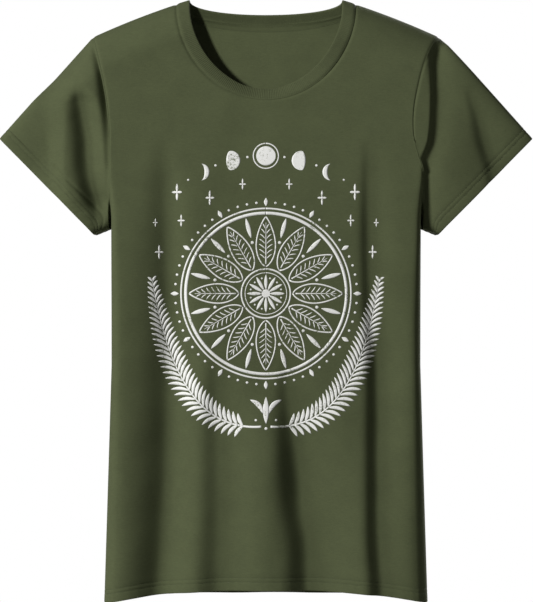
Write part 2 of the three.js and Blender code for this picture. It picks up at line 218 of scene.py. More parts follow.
FRONT_FOLDS = [
    fold(
        [(-638, -115), (-589, -112), (-524, -108), (-459, -105.5), (-372, -105), (-286, -106), (-150, -110)],
        [
            (-660, 23), (-600, 23), (-524, 21), (-416, 18), (-372, 16),
            (-286, 10), (-242, 7), (-199, 4), (-150, 0),
        ],
        26, 26, (1.5, 2), 2.0,
    ),
    fold(
        [(-638, -48), (-524, -48), (-400, -50)],
        [(-660, 13), (-589, 11), (-524, 9), (-459, 8), (-425, 5), (-385, 0)],
        20, 36,
    ),
    fold([(-640, -8), (-480, -4)], [(-660, -3), (-560, -3.5), (-480, -3.5), (-430, 0)], 20, 20),
    fold(
        [(-638, 49), (-589, 48), (-556, 42), (-524, 39), (-491, 35), (-430, 27)],
        [(-660, 17.5), (-589, 16.5), (-524, 15.5), (-491, 13), (-455, 8.5), (-420, 4), (-385, 0)],
        18, 42, (2.2, 2),
    ),
    fold(
        [
            (-638, 130), (-589, 126), (-524, 125), (-416, 124),
            (-372, 121), (-329, 117), (-242, 114.5), (-150, 113),
        ],
        [(-660, 14), (-524, 12), (-416, 10), (-372, 9), (-329, 7), (-242, 5.5), (-199, 3), (-150, 0)],
        12.5, 30, (2.5, 2),
    ),
    fold([(-660, 182), (-400, 176)], [(-660, 8), (-560, 6), (-470, 3), (-410, 0)], 26, 20),
]
BACK_FOLDS = [
    fold([(-650, -112), (-300, -118)], [(-660, 10), (-450, 7), (-300, 1), (-260, 0)], 28, 20, (2, 1.6)),
    fold([(-650, -28), (-330, -34)], [(-660, 8), (-480, 6), (-340, 1), (-300, 0)], 26, 22, (2, 1.6)),
    fold([(-650, 52), (-380, 40)], [(-660, 8), (-500, 6), (-390, 1), (-340, 0)], 20, 28, (1.6, 2)),
    fold([(-650, 122), (-290, 116)], [(-660, 10), (-450, 7), (-300, 1), (-250, 0)], 18, 26, (1.6, 2)),
]

# Folds in the front of each sleeve, along paths of (height, x) as seen from the front, and in its back
RIGHT_FOLDS = [
    fold(
        [
            (-240, -181), (-224, -182), (-208, -187), (-191, -190),
            (-175, -191.5), (-153, -192.5), (-131, -196.5), (-85, -206),
        ],
        [
            (-250, 0), (-238, 4), (-225, 11), (-208, 13), (-180, 15),
            (-150, 15), (-115, 9), (-103, 3), (-94, 0),
        ],
        13, 14, (2, 2), 2.0,
    ),
    fold(
        [(-200, -168), (-175, -169), (-143, -169), (-106, -172), (-77, -178), (-49, -187)],
        [(-205, 0), (-185, 3), (-160, 7), (-140, 9), (-110, 9), (-85, 7), (-60, 5), (-46, 0)],
        7, 6, (2, 2), 1.5,
    ),
]
LEFT_FOLDS = [
    fold(
        [
            (-256, 169), (-232, 173), (-208, 172), (-192, 173),
            (-153, 184), (-114, 188), (-89, 186), (-53, 184),
        ],
        [(-262, 2), (-230, 3), (-190, 3), (-130, 3), (-80, 5), (-55, 5), (-42, 0)],
        6, 16, (2, 1.6), 1.5,
    ),
    fold(
        [(-185, 248), (-161, 240), (-129, 232), (-105, 223)],
        [(-205, 2), (-180, 4.5), (-140, 4), (-112, 1.5), (-95, 0)],
        7.5, 16, (2, 1.6), 2.5,
    ),
]
BEHIND = [(-260, 4), (-200, 5), (-130, 3), (-100, 0)]
LEFT_STEP = [
    (-256, 169), (-226, 174), (-209, 171), (-193, 172.5),
    (-177, 177), (-155, 185), (-112, 188), (-60, 188),
]

FRONT = {
    "side": -1,
    "hem_rise": 14.6,
    "neck_drop": 107.7,
    "neck_curve": 1,
    "rib_tilt": 60,
    "profile": [
        (-659, 66), (-520, 64), (-400, 65), (-270, 70), (-200, 68),
        (-150, 63), (-110, 57), (-60, 50), (0, 45),
    ],
    "folds": FRONT_FOLDS,
    "seed": 3,
}
BACK = {
    "side": 1,
    "hem_rise": 4,
    "neck_drop": 18.5,
    "neck_curve": 1.3,
    "rib_tilt": 46,
    "profile": [(-659, 62), (-520, 58), (-400, 54), (-250, 60), (-140, 63), (-70, 59), (-22, 53), (0, 50)],
    "folds": BACK_FOLDS,
    "seed": 8,
}
RIGHT_SLEEVE = {
    "side": -1,
    "pressed": 0.9,
    "seed": 21,
    "shallower": (0.2, 0.7),
    "narrowing": ((0.8, 0.38), (1.05, 0.66)),
    "folds": RIGHT_FOLDS,
    "back_folds": [fold([(-240, -186), (-110, -200)], BEHIND, 14, 14)],
}
LEFT_SLEEVE = {
    "side": 1,
    "pressed": 0,
    "seed": 34,
    "shallower": (0.32, 0.8),
    "step": LEFT_STEP,
    "folds": LEFT_FOLDS,
    "back_folds": [fold([(-240, 188), (-110, 202)], BEHIND, 14, 14)],
}
SLEEVES = {"right_sleeve": RIGHT_SLEEVE, "left_sleeve": LEFT_SLEEVE}


def side_edge(z, side):
    """Half-width of the body: the side seam, which flares towards the hem, then the armhole seam, which
    bends out towards the shoulder tip as a square and is drawn in on the left."""
    flare = clamp((FLARE_TOP_Z - z) / (FLARE_TOP_Z + BODY_LENGTH))
    bend = clamp((z - ARMHOLE_BEND_Z) / (TIP_Z - ARMHOLE_BEND_Z))
    flared = lerp(SIDE_HALF_WIDTH, HEM_HALF_WIDTH, flare)
    return lerp(flared, TIP_X, bend**2) - np.where(side > 0, through(LEFT_BOW, z), 0)


def shoulder_line(x):
    """Height of the shoulder seam: a straight slope from the neck, bowed down as a square towards the tip."""
    run = np.abs(x) - NECK_X
    span = TIP_X - NECK_X
    bow = (NECK_Z - SHOULDER_SLOPE * span - TIP_Z) / span**2
    return NECK_Z - SHOULDER_SLOPE * run - bow * np.maximum(run, 0) ** 2


def depth(panel, x, z):
    """Depth from the shoulder plane: the panel's profile less its folds, times a flat-fronted curve across,
    which widens above the armpit, and a quarter ellipse over the shoulders."""
    above = np.maximum(0, z - ARMPIT_Z)
    reach = side_edge(z, -1) + SPREAD_RATE * above**4 / (above + SPREAD_EASE) ** 3
    across = np.maximum(0, 1 - (np.abs(x) / reach) ** through(FLATNESS, z)) ** (1 / CORNER)
    under = clamp((shoulder_line(x) - z) / CREST)
    crest = np.sqrt(1 - (1 - under) ** 2)
    waves = soft_waves(x, z, panel["seed"], 0.35, 70) * under
    return (through(panel["profile"], z) - drawn_in(panel["folds"], x, z) + waves) * across * crest


def neck_turn(a):
    """Angle round the neck at share a from its middle, slowing down towards the shoulder."""
    left = 1 - a / NECK_SHARE
    return math.pi / 2 * (1 - left**2 * (2 - left))


def neck_edge(panel, turn):
    """The neck seam as seen from the front: a quarter turn of sine across and a power of cosine down."""
    drop = panel["neck_drop"] * np.maximum(0, np.cos(turn)) ** panel["neck_curve"]
    return NECK_X * np.sin(turn), NECK_Z - drop


def top_edge(panel, a):
    neck_x, neck_z = neck_edge(panel, neck_turn(np.minimum(a, NECK_SHARE)))
    seam_x = lerp(NECK_X, TIP_X, (a - NECK_SHARE) / (1 - NECK_SHARE))
    on_neck = a <= NECK_SHARE
    return np.where(on_neck, neck_x, seam_x), np.where(on_neck, neck_z, shoulder_line(seam_x))


def hem_edge(panel, s):
    """Height of a panel's hem, which rises towards the middle."""
    return -BODY_LENGTH + panel["hem_rise"] * (1 - np.sin(np.abs(s) * math.pi / 2) ** HEM_BEND)


def panel_point(panel, s, t):
    """Outer face of a panel over (s, t). Below the armpit rows are level and s is an angle round the body;
    above it rows bend from the armpit's level to the neck and shoulder seams, and columns fan from the side
    to the neck."""
    a = np.abs(s)
    sine = np.sin(a * math.pi / 2)
    upper = clamp((t - ARMPIT_ROW) / (1 - ARMPIT_ROW))
    lower = clamp(t / ARMPIT_ROW)
    top_x, top_z = top_edge(panel, a)
    seam_share = (1 - np.cos(math.pi * upper)) / 2
    middle_share = np.sin(math.pi / 2 * upper)
    seam_z = lerp(lerp(-BODY_LENGTH, ARMPIT_Z, lower), TIP_Z, seam_share)
    edge = side_edge(seam_z, -1)
    bow = edge - side_edge(seam_z, s)
    fanned = lerp(sine, top_x / TIP_X, np.sin(math.pi / 2 * upper**FANNING))
    x = np.sign(s) * (edge * fanned - bow * a**4)
    top_z = np.minimum(top_z, shoulder_line(x))
    z = lerp(lerp(hem_edge(panel, s), ARMPIT_Z, lower), top_z, lerp(middle_share, seam_share, a**4))
    return stacked(x, panel["side"] * depth(panel, x, z), z)


def bulge(facing):
    """Section of a plain sleeve: a power of the sine of its turn."""
    return np.sign(facing) * np.abs(facing) ** SLEEVE_SQUARENESS


def sleeve_front(sleeve, share, reach, facing, x, z, seam_y):
    """Depth of the front of a sleeve. A plain one goes evenly from its seam to its hem. The left one keeps
    the depth of its seam up to the line of its step, past which it is fuller. The right one goes on from
    the body and narrows towards the hem, later the nearer it is to the shoulder. Both are fuller under the
    arm than above it."""
    if "shallower" not in sleeve:
        return lerp(seam_y, -SLEEVE_FRONT * bulge(facing), smoothstep(reach, 0, 1))
    square = np.abs(facing) ** FRONT_SQUARENESS
    past = smoothstep(reach, 0, 0.1)
    at_hem = lerp(UNDERARM_FRONT, SLEEVE_FRONT, smoothstep(share, *sleeve["shallower"]))
    if "step" in sleeve:
        past = past * smoothstep(x - through(sleeve["step"], z), *STEP_RISE)
        past = np.maximum(past, smoothstep(reach, *STEP_END))
        front = lerp(through(SLEEVE_STEP, z), at_hem, reach) * square
    else:
        up = smoothstep(share, *NARROWING_ROWS)
        narrow = smoothstep(reach, *(lerp(*ends, up) for ends in sleeve["narrowing"]))
        inner = lerp(UNDERARM_FRONT * square, -seam_y, smoothstep(share, *BODY_ROWS))
        front = lerp(inner, at_hem * square, narrow)
    return lerp(seam_y, -front, past)


def sleeve_point(sleeve, turn, reach):
    """Outer face of a sleeve over (turn, reach). Turn goes round from 0 under the arm over the front to
    half a turn at the shoulder; reach runs straight from the armhole seam to the hem, which is an ellipse
    seen nearly edge on."""
    side = sleeve["side"]
    share = (1 - np.cos(turn)) / 2
    seam_z = lerp(ARMPIT_Z, TIP_Z, share)
    seam_x = side_edge(seam_z, side)
    facing = np.sin(turn)
    front, back = (depth(panel, seam_x * side, seam_z) for panel in (FRONT, BACK))
    seam_y = np.where(facing >= 0, -front, back)
    x = side * lerp(seam_x, lerp(SLEEVE_CORNER[0], SLEEVE_TIP[0], share), reach)
    z = lerp(seam_z, lerp(SLEEVE_CORNER[1], SLEEVE_TIP[1], share), reach)
    behind_y = lerp(seam_y, -SLEEVE_BACK * bulge(facing), 1 - (1 - reach) ** SLEEVE_EASE)
    front_y = sleeve_front(sleeve, share, reach, facing, x, z, seam_y)
    y = np.where(facing >= 0, front_y, behind_y)
    y = y - SLEEVE_FULLNESS * np.sin(math.pi * reach) * bulge(facing)
    in_front = drawn_in(sleeve["folds"], x, z) * smoothstep(reach, 0, 0.015)
    behind = drawn_in(sleeve["back_folds"], x, z) * smoothstep(reach, 0, 0.12)
    waves = soft_waves(x, z, sleeve["seed"], 0.35, 55) * np.sin(math.pi * clamp(reach))
    folds = np.where(facing >= 0, in_front, -behind) * smoothstep(np.abs(facing), 0, 0.55)
    y = y + folds + waves * facing
    return stacked(x, y, z)


def norm(vectors):
    return np.linalg.norm(vectors, axis=-1)


def unit(vectors):
    return vectors / np.maximum(norm(vectors), 1e-9)[..., None]


def outward(point, piece, u, v, step, limits):
    """Outward direction of a panel or sleeve: the cross product of its slopes, over small steps."""
    along = point(piece, np.clip(u + step, *limits), v) - point(piece, np.clip(u - step, *limits), v)
    up = point(piece, u, clamp(v + STEP)) - point(piece, u, clamp(v - STEP))
    return unit(np.cross(along, up) * -np.asarray(piece["side"])[..., None])


def panel_out(panel, s, t):
    return outward(panel_point, panel, s, t, STEP, (-1, 1))


def sleeve_out(sleeve, turn, reach):
    return outward(sleeve_point, sleeve, turn, reach, TURN_STEP, (-math.inf, math.inf))


def flattened(vectors, where):
    """The same directions, square to Y where asked."""
    return unit(np.where(where[..., None], vectors * (1, 0, 1), vectors))


def armhole_out(side, t, in_front):
    """Outward direction along an armhole seam, midway between the body's and the sleeve's."""
    up = clamp((t - ARMPIT_ROW) / (1 - ARMPIT_ROW))
    turn = np.where(in_front, up, 2 - up) * math.pi
    plain = {"side": side, "seed": 0, "folds": [], "back_folds": []}
    arm = sleeve_out(plain, turn, 0 * turn)
    above = np.maximum(t, ARMPIT_ROW + STEP)
    body = np.where(in_front[..., None], panel_out(FRONT, side, above), panel_out(BACK, side, above))
    return flattened(arm + body, (t <= ARMPIT_ROW) | (t >= 1))


def dip(distance, height, spread):
    """A groove whose section is a bell."""
    return height * np.exp(-((distance / spread) ** 2))


def seam_dip(distance):
    return dip(distance, SEAM_DIP, SEAM_SPREAD)


def turned_to(shared, own, to_seam):
    """Directions that turn into the shared ones beside a seam."""
    return unit(lerp(own, shared, dip(to_seam, 1, SHARED)[..., None]))


def panel_frame(panel, s, t):
    """Points of a panel's outer face, directions out of it, and distances to the side or armhole seam."""
    s, t = np.broadcast_arrays(s, t)
    points = panel_point(panel, s, t)
    side = np.where(s < 0, -1.0, 1.0)
    to_seam = norm(points - panel_point(panel, side, t))
    at_side = flattened(panel_out(panel, side, t), t <= ARMPIT_ROW)
    at_armhole = armhole_out(side, t, np.full(t.shape, panel is FRONT))
    shared = np.where((t > ARMPIT_ROW)[..., None], at_armhole, at_side)
    out = turned_to(shared, panel_out(panel, s, t), to_seam)
    return points, flattened(out, (t >= 1) & (np.abs(s) >= NECK_SHARE)), to_seam


def sleeve_frame(sleeve, turn, reach):
    """Points of a sleeve's outer face, directions out of it, and distances to the armhole seam."""
    turn, reach = np.broadcast_arrays(turn, reach)
    points = sleeve_point(sleeve, turn, reach)
    to_seam = norm(points - sleeve_point(sleeve, turn, 0 * turn))
    up = 1 - np.abs(turn / math.pi - 1)
    side = np.full(turn.shape, float(sleeve["side"]))
    shared = armhole_out(side, lerp(ARMPIT_ROW, 1, up), turn <= math.pi)
    return points, turned_to(shared, sleeve_out(sleeve, turn, reach), to_seam), to_seam


def run_length(points, axis):
    """Length along a grid of points, summed from its first row or column."""
    steps = norm(np.diff(points, axis=axis))
    start = np.zeros_like(np.take(steps, [0], axis))
    return np.concatenate([start, np.cumsum(steps, axis)], axis)


def at_places(place, run, line):
    """Points or directions of a line at places along its run."""
    return np.stack([np.interp(place, run, part) for part in line.T], -1)


class Value:
    """A socket that shader maths is written with: each operator adds its Math node."""

    def __init__(self, shader, socket):
        self.shader = shader
        self.socket = socket

    def maths(self, operation, *others):
        return self.shader.node("Math", dict(enumerate([self, *others])), operation=operation)

    def __add__(self, other):
        return self.maths("ADD", other)

    def __sub__(self, other):
        return self.maths("SUBTRACT", other)

    def __mul__(self, other):
        return self.maths("MULTIPLY", other)

    def __truediv__(self, other):
        return self.maths("DIVIDE", other)


class Shader:
    """The nodes of a material or world, each added by kind with its inputs, output and settings."""

    def __init__(self, holder):
        holder.use_nodes = True
        self.holder = holder
        self.tree = holder.node_tree
        self.tree.nodes.clear()

    def node(self, kind, inputs=None, output=0, **settings):
        node = self.tree.nodes.new("ShaderNode" + kind)
        for name, value in settings.items():
            setattr(node, name, value)
        for name, value in (inputs or {}).items():
            if isinstance(value, Value):
                self.tree.links.new(value.socket, node.inputs[name])
            else:
                node.inputs[name].default_value = value
        return Value(self, node.outputs[output])

    def noise(self, at, scale, detail, roughness):
        return self.node("TexNoise", {"Vector": at, "Scale": scale, "Detail": detail, "Roughness": roughness})

    def mix(self, share, low, high):
        return self.node("Mix", {0: share, 6: low, 7: high}, 2, data_type="RGBA")

    def between(self, value, low, high):
        return self.node("MapRange", {0: value, 1: low, 2: high}, interpolation_type="SMOOTHSTEP")

    def finish(self, colour, roughness, specular=0.5, relief=None, sheen=None):
        """The material, with a relief of (strength, distance, height)."""
        inputs = {"Base Color": colour, "Roughness": roughness, "Specular IOR Level": specular}
        inputs.update(sheen or {})
        if relief:
            inputs["Normal"] = self.node("Bump", dict(zip(("Strength", "Distance", "Height"), relief)))
        return self.end("Material", self.node("BsdfPrincipled", inputs))

    def end(self, kind, shown):
        output = self.tree.nodes.new("ShaderNodeOutput" + kind)
        self.tree.links.new(shown.socket, output.inputs[0])
        return self.holder


def new_finish(name):
    return Shader(bpy.data.materials.new(name))


def tinted(colour, factor):
    return (*(part * factor for part in colour), 1)


OLIVE = (0.0735, 0.0860, 0.0405)
OLIVE_RIB = (0.0705, 0.0823, 0.0390)
OLIVE_TAPE = (0.0640, 0.0750, 0.0350)
OLIVE_THREAD = (0.0620, 0.0730, 0.0330)
INK_WHITE = (0.80, 0.80, 0.77)
WALE = 0.85
COURSE = 0.62


def knit_height(shader, wale, course):
    """Relief of plain jersey over the cloth's own coordinates: columns of V-shaped stitches, a wale wide
    and a course high."""
    uv = shader.node("UVMap", uv_map="cloth")
    across = shader.node("SeparateXYZ", {0: uv}) / wale
    up = shader.node("SeparateXYZ", {0: uv}, 1) / course
    off = (across.maths("FRACT") - 0.5).maths("ABSOLUTE")
    leg = ((up + off * 1.3) * (2 * math.pi)).maths("COSINE") * 0.5 + 0.5
    column = (off * (2 * math.pi)).maths("COSINE") * 0.5 + 0.5
    return leg * 0.45 + column * 0.55


def jersey_finish(name, colour, wale, course):
    """Combed cotton jersey: matt, with fine flecks of fibre, soft mottling, and the relief of its knit."""
    shader = new_finish(name)
    at = shader.node("TexCoord", output=3)
    flecks = shader.noise(at, 1300, 3, 0.65)
    slubs = shader.noise(shader.node("Mapping", {0: at, 3: (0.25, 0.25, 1)}), 900, 2, 0.5)
    mottle = shader.noise(at, 55, 2, 0.5)
    knit = knit_height(shader, wale, course)
    shade = flecks * 0.45 + slubs * 0.3 + mottle * 0.25
    body = shader.mix(shader.between(shade, 0.3, 0.7), tinted(colour, 0.86), tinted(colour, 1.15))
    base = shader.mix(knit * 0.22, body, tinted(colour, 0.72))
    roughness = shader.between(mottle, 0, 1) * 0.08 + 0.88
    sheen = {"Sheen Weight": 0.06, "Sheen Roughness": 0.45, "Sheen Tint": tinted(colour, 4)}
    return shader.finish(base, roughness, 0.15, (0.35, 0.00018, knit * 0.6 + flecks * 0.4), sheen)


def thread_finish():
    """Spun thread: two plies laid round each other, which show as slanting bands of light and shade."""
    shader = new_finish("thread")
    at = shader.node("TexCoord", output=3)
    bands = {"Vector": at, "Scale": 900.0, "Distortion": 1.5}
    plies = shader.node("TexWave", bands, bands_direction="DIAGONAL")
    base = shader.mix(plies, tinted(OLIVE_THREAD, 0.8), tinted(OLIVE_THREAD, 1.15))
    return shader.finish(base, 0.6, 0.3, (0.4, 0.0001, plies))


def print_finish():
    """White screen-print ink that has worn thin: it lets the cloth through in specks and cracks, more in
    some areas than in others, and follows the knit under it."""
    shader = new_finish("print")
    at = shader.node("TexCoord", output=3)
    fine = shader.noise(at, 1500, 4, 0.7)
    grain = shader.noise(at, 420, 3, 0.6)
    patches = shader.noise(at, 38, 2, 0.5)
    wear = fine * 0.5 + grain * 0.5 + shader.between(patches, 0.42, 0.72) * 0.085
    worn = shader.between(wear, 0.575, 0.635)
    film = shader.mix(grain, tinted(INK_WHITE, 0.9), tinted(INK_WHITE, 1.04))
    base = shader.mix(worn * 0.85, film, tinted(OLIVE, 1.6))
    height = knit_height(shader, WALE, COURSE) - worn * 0.6
    return shader.finish(base, worn * 0.25 + 0.62, 0.3, (0.3, 0.0001, height))


# By material slot
FINISHES = {
    "jersey": jersey_finish("jersey", OLIVE, WALE, COURSE),
    "rib": jersey_finish("rib", OLIVE_RIB, WALE, 0.7),
    "tape": jersey_finish("tape", OLIVE_TAPE, 0.7, 0.55),
    "thread": thread_finish(),
    "print": print_finish(),
}


def add_object(name, data):
    thing = bpy.data.objects.new(name, data)
    bpy.context.scene.collection.objects.link(thing)
    return thing


def add_mesh(name, points, faces, slot, uv=None, caps=()):
    """A smooth mesh from arrays of points in millimetres, quads and end caps, with the cloth's own
    coordinates as its UV map."""
    mesh = bpy.data.meshes.new(name)
    mesh.from_pydata((points.reshape(-1, 3) * MM).tolist(), [], faces.tolist() + np.asarray(caps).tolist())
    mesh.polygons.foreach_set("use_smooth", np.ones(len(mesh.polygons), bool))
    if uv is not None:
        corners = np.empty(len(mesh.loops), np.int32)
        mesh.loops.foreach_get("vertex_index", corners)
        at_corners = uv.reshape(-1, 2)[corners].astype(np.float32)
        mesh.uv_layers.new(name="cloth").uv.foreach_set("vector", at_corners.ravel())
    mesh.update()
    mesh.materials.append(FINISHES[slot])
    piece = add_object(name, mesh)
    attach(piece, BODY)
    return piece


def grid_faces(columns, rows):
    """Quads of a grid of points, as an array of four indices each."""
    here = np.arange(columns - 1)[:, None] * rows + np.arange(rows - 1)
    return stacked(here, here + rows, here + rows + 1, here + 1).reshape(-1, 4)


def layered(top, under):
    """Points and outward quads of a plate between two grids: both faces, and a wall along each edge."""
    columns, rows = top.shape[:2]
    count = columns * rows
    face = grid_faces(columns, rows)
    i, j = np.arange(columns - 1) * rows, np.arange(rows - 1)
    far = j + count - rows
    edges = [(i + rows, i), (i + rows - 1, i + 2 * rows - 1), (j, j + 1), (far + 1, far)]
    walls = [stacked(one, other, other + count, one + count) for one, other in edges]
    return np.stack([top, under]), np.concatenate([face, face[:, ::-1] + count, *walls])


def add_cloth(name, middle, thickness, slot, *nodes):
    """Cloth in place of the given nodes, its faces half a thickness to each side of a middle surface."""
    half = unit(np.cross(np.gradient(middle, axis=0), np.gradient(middle, axis=1))) * thickness / 2
    across, up = run_length(middle, 0), run_length(middle, 1)
    uv = stacked(across - across[len(middle) // 2], up)
    piece = add_mesh(name, *layered(middle + half, middle - half), slot, np.stack([uv, uv]))
    piece.data.set_sharp_from_angle(angle=math.radians(70))
    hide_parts(*nodes)
    return piece


def add_allowance(name, points, out, to_seam, slot, node):
    """A layer of cloth sewn inside a panel or sleeve, which follows it into the groove of its seam."""
    below = JERSEY + LAYER_GAP + INNER_CLOTH / 2 + seam_dip(to_seam)
    return add_cloth(name, points - out * below[..., None], INNER_CLOTH, slot, node)


def edge_distance(panel, points):
    """Least distance from each point of a grid to a panel's neck and shoulder seams, column by column."""
    line = panel_point(panel, np.linspace(-1, 1, 1401), 1.0)
    return np.array([norm(column[:, None] - line).min(1) for column in points])


# Distances from a hem's edge at which the cloth has rows: its fold, round each row of stitching, and inside
HEM_ROWS = np.concatenate([[0.9, 3, 5.6], *(line + STITCH_ROWS for line in TWIN_NEEDLE)])
HEM_TOP = TWIN_NEEDLE[-1] + 3
INNER_ROWS = np.linspace(HEM, 1.6, 7)


def hemmed(points, out, groove, inner_points, inner_out, inner_groove):
    """The middle of the cloth from inside a hem, round its fold, and up the outside, along its grooves."""
    outside = points - out * (JERSEY / 2 + groove)[..., None]
    inside = inner_points - inner_out * (JERSEY * 1.5 + LAYER_GAP + inner_groove)[..., None]
    edge = outside + out * JERSEY / 2
    radius = (JERSEY + LAYER_GAP) / 2
    centre = edge[:, 0] - out[:, 0] * (JERSEY / 2 + radius)
    down = unit(edge[:, 0] - edge[:, 1])
    turns = np.linspace(math.pi, 0, 7)[1:-1]
    fold_rows = [centre + radius * (math.cos(a) * out[:, 0] + math.sin(a) * down) for a in turns]
    return np.concatenate([inside, np.stack(fold_rows, 1), outside], 1)


def hem_groove(groove, across, above_hem):
    """The groove of a seam and of a hem's stitching, less the small uneven waves between its edge and it."""
    stitched = sum(dip(above_hem - line, STITCH_DIP, STITCH_SPREAD) for line in TWIN_NEEDLE)
    waves = np.sin(across * 0.74 + np.sin(across * 0.21) * 2 + above_hem * 0.12)
    return np.minimum(groove, SEAM_DIP) + stitched - waves * PUCKER * dip(above_hem - 7, 1, 8)


def side_shares(distances):
    """Shares across a panel at distances along its cloth from the side seam, level with the armpit."""
    share = 1 - np.linspace(0, 1, 6001) ** 4
    run = run_length(panel_point({**FRONT, "folds": []}, share, ARMPIT_ROW), 0)
    return np.interp(distances, run, share)


def panel_columns():
    """Shares across a panel, even along its cloth and closer together beside the side and armhole seams."""
    beside = [0, 0.9, 1.8, 2.8, 4, 5.6, 7.6]
    distances = [beside, np.arange(10, 46, 3), np.arange(46, 76, 1.3), np.arange(76, 400, 2.9)]
    half = side_shares(np.concatenate(distances))
    half = np.append(half[half > 0.006], 0)
    return np.concatenate([-half[:-1], half[::-1]])


def hem_share(panel, s, distance):
    """Row of a panel at a distance above its hem."""
    return ARMPIT_ROW * distance / (ARMPIT_Z - hem_edge(panel, s))


def add_panel(name, panel, nodes):
    """A body panel in one cloth with its hem, with grooves along the seams and the stitching."""
    s = panel_columns()[:, None]
    near = hem_share(panel, s, HEM_ROWS)
    lower = lerp(hem_share(panel, s, HEM_TOP), ARMPIT_ROW, np.linspace(0, 1, 127)[None, 1:])
    upper = lerp(ARMPIT_ROW, 1, np.linspace(0, 1, 81)[None, 1:]) + 0 * s
    t = np.concatenate([near, lower, upper], 1)
    points, out, to_seam = panel_frame(panel, s, t)
    to_top = np.full(t.shape, 1e3)
    to_top[:, -TOP_ROWS:] = edge_distance(panel, points[:, -TOP_ROWS:])
    above_hem = t / near[:, :1] * HEM_ROWS[0]
    groove = hem_groove(seam_dip(to_seam) + seam_dip(to_top), run_length(points, 0), above_hem)
    inner_points, inner_out, inner_seam = panel_frame(panel, s, hem_share(panel, s, INNER_ROWS))
    middle = hemmed(points, out, groove, inner_points, inner_out, seam_dip(inner_seam))
    return add_cloth(name, middle, JERSEY, "jersey", *nodes)


def sleeve_turns(sleeve, count):
    """Turns round a sleeve, even along its cloth halfway down, that start and end under the arm."""
    turn = np.linspace(0, 2 * math.pi, 4001)
    run = run_length(sleeve_point({**sleeve, "folds": [], "back_folds": []}, turn, 0.5), 0)
    return np.interp(np.linspace(0, run[-1], count), run, turn)


def sleeve_length(sleeve, turn):
    return norm(sleeve_point(sleeve, turn, 0 * turn) - sleeve_point(sleeve, turn, 0 * turn + 1))


def sleeve_reach(sleeve, turn, distance):
    """Reach of the points of a sleeve at a distance above its hem."""
    return 1 - distance / sleeve_length(sleeve, turn)


def add_sleeve(name, sleeve):
    """A sleeve in one cloth with its hem, round from the seam under the arm, with grooves along the seams,
    the stitching and a pressed line."""
    turn = sleeve_turns(sleeve, 221)[:, None]
    near = sleeve_reach(sleeve, turn, HEM_ROWS)
    rest = sleeve_reach(sleeve, turn, HEM_TOP) * (1 - np.linspace(0, 1, 101)[None, 1:]) ** 1.5
    reach = np.concatenate([near, rest], 1)
    points, out, to_seam = sleeve_frame(sleeve, turn, reach)
    around = run_length(points, 0)
    underarm = dip(np.minimum(around, around[-1] - around), SEAM_DIP * 0.7, SEAM_SPREAD)
    above_hem = (1 - reach) / (1 - near[:, :1]) * HEM_ROWS[0]
    groove = hem_groove(seam_dip(to_seam) + underarm, around, above_hem)
    pressed = dip(above_hem - lerp(*PRESSED_LINE, ((1 - np.cos(turn)) / 2) ** 2), sleeve["pressed"], 2.2)
    groove += pressed * smoothstep(to_seam, 4, 14) * np.abs(np.sin(turn))
    inner_points, inner_out, _ = sleeve_frame(sleeve, turn, sleeve_reach(sleeve, turn, INNER_ROWS))
    middle = hemmed(points, out, groove, inner_points, inner_out, np.zeros(inner_points.shape[:2]))
    if sleeve["side"] < 0:
        middle = middle[::-1]
    return add_cloth(name + "_jersey", middle, JERSEY, "jersey", name, name + "_hem")


def rows_below(panel, s, distances):
    """Rows at which columns of a panel lie at given distances below its top edge."""
    fall = 0.35 * np.linspace(0, 1, 160) ** 2
    away = edge_distance(panel, panel_point(panel, s[:, None], 1 - fall))
    return np.array([1 - np.interp(distances, column, fall) for column in away])


def add_top_allowance(name, panel, ends, slot, node):
    """The seam allowance or tape under a stretch of a panel's top edge."""
    s = np.linspace(*ends, 90)
    distances = np.linspace(0.2, ALLOWANCE, 8)
    points, out, _ = panel_frame(panel, s[:, None], rows_below(panel, s, distances))
    return add_allowance(name, points, out, distances + 0 * s[:, None], slot, node)


def add_allowances():
    """The seam allowances of the body and the armholes, and the tape over the back of the neck, by node."""
    across = np.linspace(0.2, ALLOWANCE, 6)
    neck = (-NECK_SHARE, NECK_SHARE)
    pieces = {
        "neck_tape": add_top_allowance("neck_tape_strip", BACK, neck, "tape", "neck_tape"),
        "neck_seam": add_top_allowance("neck_allowance", FRONT, neck, "jersey", "neck_seam"),
    }
    for side, word, sleeve in ((-1, "right", RIGHT_SLEEVE), (1, "left", LEFT_SLEEVE)):
        node = word + "_shoulder_seam"
        shoulder = sorted([side * NECK_SHARE, side * 0.999])
        pieces[node] = add_top_allowance(word + "_shoulder_allowance", BACK, shoulder, "jersey", node)
        node = word + "_side_seam"
        s = np.sort(side * side_shares(across))[:, None]
        t = lerp(hem_share(BACK, s, HEM + 1), ARMPIT_ROW, np.linspace(0, 0.999, 110))
        pieces[node] = add_allowance(word + "_side_allowance", *panel_frame(BACK, s, t), "jersey", node)
        node = word + "_sleeve_armhole_seam"
        turn = sleeve_turns(sleeve, 161)[:, None]
        reach = np.minimum(across / sleeve_length(sleeve, turn), 0.2 * np.linspace(0, 1, 6))
        at = sleeve_frame(sleeve, turn, reach)
        pieces[node] = add_allowance(word + "_armhole_allowance", *at, "jersey", node)
    return pieces


def facing_out(panel, x, z, step):
    """Directions out of a panel over (x, z), from the slopes of its depth over small steps."""
    slope_x = (depth(panel, x + step, z) - depth(panel, x - step, z)) / (2 * step)
    slope_z = (depth(panel, x, z + step) - depth(panel, x, z - step)) / (2 * step)
    return unit(stacked(-slope_x, panel["side"] * np.ones_like(x), -slope_z))


